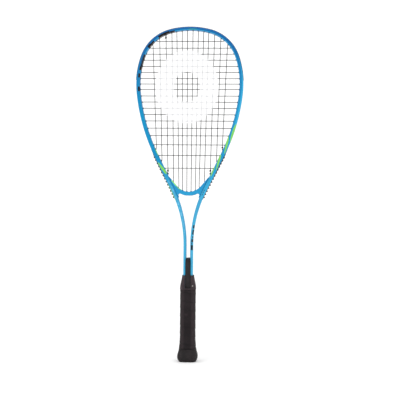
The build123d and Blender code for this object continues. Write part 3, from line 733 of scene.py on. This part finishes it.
def tail_run(sign, first, last, y):
    i, j = first[1], last[1]
    total = abs(j - i)
    steps = max(4, round(total / 2.0))
    out = [beyond(first, sign, 0.0)]
    for n in range(1, steps):
        gone = total * n / steps
        if gone < 2.0 or total - gone < 2.0:
            continue
        shift = min(1.0, gone / 5.0)
        out.append(spot(TAIL_PTS, i + gone * (1 if j > i else -1), sign, y * shift))
    out.append(beyond(last, sign, y))
    return out


def weave_sign(sign, k, j):
    column = 7 - k if sign < 0 else 6 + k
    return 1 if (column + j) % 2 == 0 else -1


def crossed(k, j):
    low = MAIN_END[k][0][1] if k >= 3 else yoke_top(main_x(k, 345))
    return low + 3 < CROSS_Z[j] < MAIN_TOP[k][0][1] - 3


def woven(stations):
    """Smooth path over and under: y eases from one crossing to the next."""
    out = [Vector(stations[0])]
    for a, b in zip(stations, stations[1:]):
        a, b = Vector(a), Vector(b)
        steps = max(3, min(8, round((b - a).length / 2.0)))
        for n in range(1, steps + 1):
            t = n / steps
            ease = (1 - math.cos(math.pi * t)) / 2
            p = a.lerp(b, t)
            p.y = a.y + (b.y - a.y) * ease
            out.append(p)
    return out


def main_path(sign, k, upward):
    if k >= 3:
        bend = MAIN_END[k][0]
        stations = [(sign * bend[0], 0, bend[1])]
    else:
        z = yoke_top(main_x(k, 345)) + 2.5
        stations = [(sign * main_x(k, z), 0, z)]
    for j in range(len(CROSS_Z) - 1, -1, -1):
        if crossed(k, j):
            stations.append((sign * main_x(k, CROSS_Z[j]), WEAVE * weave_sign(sign, k, j), CROSS_Z[j]))
    bend = MAIN_TOP[k][0]
    stations.append((sign * bend[0], 0, bend[1]))
    path = woven(stations)
    return path if upward else path[::-1]


def cross_path(j, rightward):
    reach = CROSS_END[j][0][0]
    stations = [(-reach, 0, CROSS_Z[j])]
    for sign, k in [(-1, k) for k in range(7, 0, -1)] + [(1, k) for k in range(1, 8)]:
        if crossed(k, j):
            stations.append((sign * main_x(k, CROSS_Z[j]), -WEAVE * weave_sign(sign, k, j), CROSS_Z[j]))
    stations.append((reach, 0, CROSS_Z[j]))
    path = woven(stations)
    return path if rightward else path[::-1]


def low_exit(sign, k):
    if k >= 3:
        return spot(LANE_PTS, MAIN_END[k][1], sign, 0.0)
    x = main_x(k, 341)
    return Vector((sign * x, 0, yoke_low(x) + 0.35))


def low_loop(sign, k, n):
    if k >= 3:
        return groove_run(sign, MAIN_END[k][1], MAIN_END[n][1], -LANE_Y)
    a, b = main_x(k, 341), main_x(n, 341)
    return [Vector((sign * x, 0, yoke_low(x) + 0.35)) for x in np.linspace(a, b, 5)[1:-1]]


def hang(sign, upward, k, side, reach):
    """Tie-off on a string: start of the tail inside the head, and the string's direction."""
    path = main_path(sign, k, upward)
    way = (path[2] - path[0]).normalized()
    start = path[0] + Vector((0, side * TAIL_Y, 0))
    return path[0], way, [start + way * reach, start]


def main_route():
    base_l, way_l, ends_l = hang(-1, True, 5, -1, 1.2)
    base_r, way_r, ends_r = hang(1, True, 5, -1, 1.2)
    route = list(ends_l)
    route += tail_run(-1, MAIN_END[7], MAIN_END[5], -TAIL_Y)[::-1]
    route += main_path(-1, 7, True) + [spot(LANE_PTS, MAIN_TOP[7][1], -1, 0)]
    route += groove_run(-1, MAIN_TOP[7][1], MAIN_TOP[6][1], -LANE_Y)
    for k in (6, 4, 2):
        route.append(spot(LANE_PTS, MAIN_TOP[k][1], -1, 0))
        route += main_path(-1, k, False) + [low_exit(-1, k)]
        route += low_loop(-1, k, k - 1) + [low_exit(-1, k - 1)]
        route += main_path(-1, k - 1, True) + [spot(LANE_PTS, MAIN_TOP[k - 1][1], -1, 0)]
        if k > 2:
            route += groove_run(-1, MAIN_TOP[k - 1][1], MAIN_TOP[k - 2][1], -LANE_Y)
    route += groove_run(-1, MAIN_TOP[1][1], MAIN_TOP[1][1], -LANE_Y, 1)
    for k in (1, 3, 5):
        route.append(spot(LANE_PTS, MAIN_TOP[k][1], 1, 0))
        route += main_path(1, k, False) + [low_exit(1, k)]
        route += low_loop(1, k, k + 1) + [low_exit(1, k + 1)]
        route += main_path(1, k + 1, True) + [spot(LANE_PTS, MAIN_TOP[k + 1][1], 1, 0)]
        route += groove_run(1, MAIN_TOP[k + 1][1], MAIN_TOP[k + 2][1], -LANE_Y)
    route.append(spot(LANE_PTS, MAIN_TOP[7][1], 1, 0))
    route += main_path(1, 7, False)
    route += tail_run(1, MAIN_END[7], MAIN_END[5], -TAIL_Y)
    route += ends_r[::-1]
    return route, ((base_l, way_l), (base_r, way_r))


def cross_route():
    base_t, way_t, ends_t = hang(-1, False, 5, 1, 1.2)
    base_b, way_b, ends_b = hang(1, True, 7, 1, 0.6)
    route = list(ends_t)
    route += tail_run(-1, CROSS_END[0], MAIN_TOP[5], TAIL_Y)[::-1]
    last = len(CROSS_Z) - 1
    for j in range(last + 1):
        rightward = j % 2 == 0
        route += cross_path(j, rightward)
        if j < last:
            side = 1 if rightward else -1
            route.append(spot(LANE_PTS, CROSS_END[j][1], side, 0))
            route += groove_run(side, CROSS_END[j][1], CROSS_END[j + 1][1], LANE_Y)
            route.append(spot(LANE_PTS, CROSS_END[j + 1][1], side, 0))
    route += tail_run(1, CROSS_END[last], MAIN_END[7], TAIL_Y)
    route += ends_b[::-1]
    return route, ((base_t, way_t), (base_b, way_b))


def add_string(name, route, node):
    path = soften(route)
    sides = 10
    vertices, faces = tube_along(path, STRING_R, sides)
    obj = new_object(name, vertices, faces)
    face_out(obj)
    gone = 0.0
    twist = []
    for i, p in enumerate(path):
        gone += (p - path[i - 1]).length if i else 0.0
        twist += [gone * 2.2 + 4 * math.pi * s / sides for s in range(sides)]
    add_values(obj, "twist", twist)
    finish_piece(obj, STRING, "string", node)


def add_knots(name, ties, node, counts):
    """Hitches wound round the string they hold, with a short cut end."""
    vertices, faces = [], []
    for (base, way, first), turns in zip(ties, counts):
        side = way.orthogonal().normalized()
        other = way.cross(side)
        points = []
        steps = 14 * turns
        for n in range(steps + 1):
            a = 2 * math.pi * n / 14
            rise = first - 0.45 + 1.05 * n / 14
            points.append(base + way * rise + 1.27 * (math.cos(a) * side + math.sin(a) * other))
        tangent = (points[-1] - points[-2]).normalized()
        points.append(points[-1] + tangent * 0.9 + way * 0.2)
        points.append(points[-1] + tangent * 1.0 + way * 0.3)
        v, f = tube_along(points, STRING_R * 0.98, 10)
        faces += [tuple(i + len(vertices) for i in face) for face in f]
        vertices += v
    obj = new_object(name, vertices, faces)
    face_out(obj)
    add_values(obj, "twist", [0.0] * len(vertices))
    finish_piece(obj, STRING, "string", node)


route, ties = main_route()
add_string("main_string_woven", route, "main_string")
add_knots("main_knots_tied", [t + (1.9,) for t in ties], "main_string_knots", (3, 3))
route, ties = cross_route()
add_string("cross_string_woven", route, "cross_string")
add_knots("cross_knots_tied", [ties[0] + (1.9,), ties[1] + (1.3,)], "cross_string_knots", (3, 2))


# ---- handle --------------------------------------------------------------------------
def rounded_ring(width, depth, radius, count):
    """Points round a rounded rectangle, evenly spaced, with their angle share."""
    segments = []
    hx, hy = width / 2 - radius, depth / 2 - radius
    for cx, cy, start in ((hx, -hy, -90), (hx, hy, 0), (-hx, hy, 90), (-hx, -hy, 180)):
        for n in range(25):
            a = math.radians(start + 90 * n / 24)
            segments.append((cx + radius * math.cos(a), cy + radius * math.sin(a)))
    segments.append(segments[0])
    pts = np.array(segments)
    gone = np.concatenate(([0.0], np.cumsum(np.hypot(*np.diff(pts, axis=0).T))))
    want = np.linspace(0, gone[-1], count, endpoint=False)
    return np.stack([np.interp(want, gone, pts[:, 0]), np.interp(want, gone, pts[:, 1])], axis=1)


PITCH = 17.4
GRIP_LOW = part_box("grip_wrap")[0].z / MM
GRIP_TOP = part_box("grip_wrap")[1].z / MM
# the handle's section up its length: (height, width, depth, corner radius)
GRIP_FORM = (
    (26.3, 35.4, 32.6, 10.5), (34.4, 33.9, 31.0, 10.0), (42.6, 32.6, 29.6, 9.4),
    (52.0, 32.0, 29.0, 9.0), (147.2, 32.0, 29.0, 9.0),
)
TAPE_STEP = 0.80


def grip_wrap():
    """Tape wound up the handle: each turn laps the one below."""
    around = 144
    heights = np.linspace(GRIP_LOW, GRIP_TOP, 300)
    levels = [f[0] for f in GRIP_FORM]
    rings, turns = [], []
    for z in heights:
        w, d, r = (float(np.interp(z, levels, [f[c] for f in GRIP_FORM])) for c in (1, 2, 3))
        ring = rounded_ring(w, d, r, around)
        edge = min(1.0, (z - GRIP_LOW) / 1.2, (GRIP_TOP - z) / 1.2)
        row = []
        for n, (x, y) in enumerate(ring):
            theta = 2 * math.pi * n / around
            p = ((z + PITCH * theta / (2 * math.pi)) / PITCH) % 1.0
            rise = min(1.0, p / 0.05)
            rise = rise * rise * (3 - 2 * rise)
            lift = -TAPE_STEP + TAPE_STEP * rise * (1.0 - 0.55 * p)
            lift += 0.10 * math.sin(3.0 * theta + 0.21 * z) * 0.5
            lift -= 0.9 * (1 - max(0.0, edge)) ** 2
            size = math.hypot(x, y)
            row.append((x * (1 + lift / size), y * (1 + lift / size), z))
            turns.append(p)
        rings.append(row)
    for z in (GRIP_TOP, GRIP_LOW):
        w, d = (30.4, 27.4) if z == GRIP_LOW else (27.9, 24.9)
        ring = rounded_ring(w, d, 7.0, around)
        rings.append([(x, y, z) for x, y in ring])
        turns += [0.5] * around
    vertices, faces = rings_mesh("", rings, loop=True)
    obj = new_object("grip_tape_wound", vertices, faces)
    face_out(obj)
    add_values(obj, "turn", turns)
    finish_piece(obj, GRIP, "grip_tape", "grip_wrap")


grip_wrap()

CARRIED = {
    "throat_yoke": YOKE, "head_bumper": BUMPER, "left_side_grommets": GROMMET, "right_side_grommets": GROMMET,
    "left_shoulder_grommets": GROMMET, "right_shoulder_grommets": GROMMET, "yoke_grommets": GROMMET,
    "throat_wedge": WEDGE, "shaft_core": CORE, "handle_shell_front": FOAM, "handle_shell_back": FOAM,
    "grip_collar": COLLAR, "collar_tack": TACK, "butt_cap": CAP, "butt_badge": BADGE,
}
for name, material in CARRIED.items():
    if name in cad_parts:
        give(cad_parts[name], material)


# ---- stage and light -----------------------------------------------------------------
def stage():
    profile = [(-4.0, 0.0), (1.2, 0.0)]
    for n in range(1, 17):
        a = math.radians(90 * n / 16)
        profile.append((1.2 + 1.2 * math.sin(a), 1.2 - 1.2 * math.cos(a)))
    profile.append((2.4, 4.5))
    vertices = [(x * 1000, y * 1000, z * 1000) for y, z in profile for x in (-5.0, 5.0)]
    faces = [(2 * i, 2 * i + 1, 2 * i + 3, 2 * i + 2) for i in range(len(profile) - 1)]
    obj = new_object("floor_sweep", vertices, faces)
    shade = Shade("pale_floor")
    drift = shade.ramp(shade.noise(3.0, 2.0), 0.3, 0.7)
    shade.colour(shade.mix(drift, linear(248, 248, 248), linear(252, 252, 252)))
    shade.rough(0.9)
    give(obj, shade.material)


def area(name, place, target, size, power, tint=(1.0, 1.0, 1.0)):
    data = bpy.data.lights.new(name, "AREA")
    data.shape = "RECTANGLE"
    data.size, data.size_y = size
    data.energy = power
    data.color = tint
    obj = bpy.data.objects.new(name, data)
    obj.location = place
    obj.rotation_euler = (Vector(target) - Vector(place)).to_track_quat("-Z", "Y").to_euler()
    bpy.context.scene.collection.objects.link(obj)


stage()
area("key", (-1.5, -1.7, 1.3), (0, 0, 0.40), (0.9, 1.3), 9)
area("fill", (1.7, -1.5, 0.7), (0, 0, 0.38), (0.7, 1.4), 4)
area("overhead", (0.0, -0.3, 2.3), (0, 0.0, 0.0), (2.0, 1.2), 6)
area("backdrop", (0.0, 0.9, 2.6), (0, 2.4, 0.5), (3.5, 0.8), 8)

world = bpy.data.worlds.new("studio")
world.use_nodes = True
world.node_tree.nodes["Background"].inputs["Color"].default_value = (1, 1, 1, 1)
world.node_tree.nodes["Background"].inputs["Strength"].default_value = 0.98
bpy.context.scene.world = world
bpy.context.scene.view_settings.view_transform = "Standard"
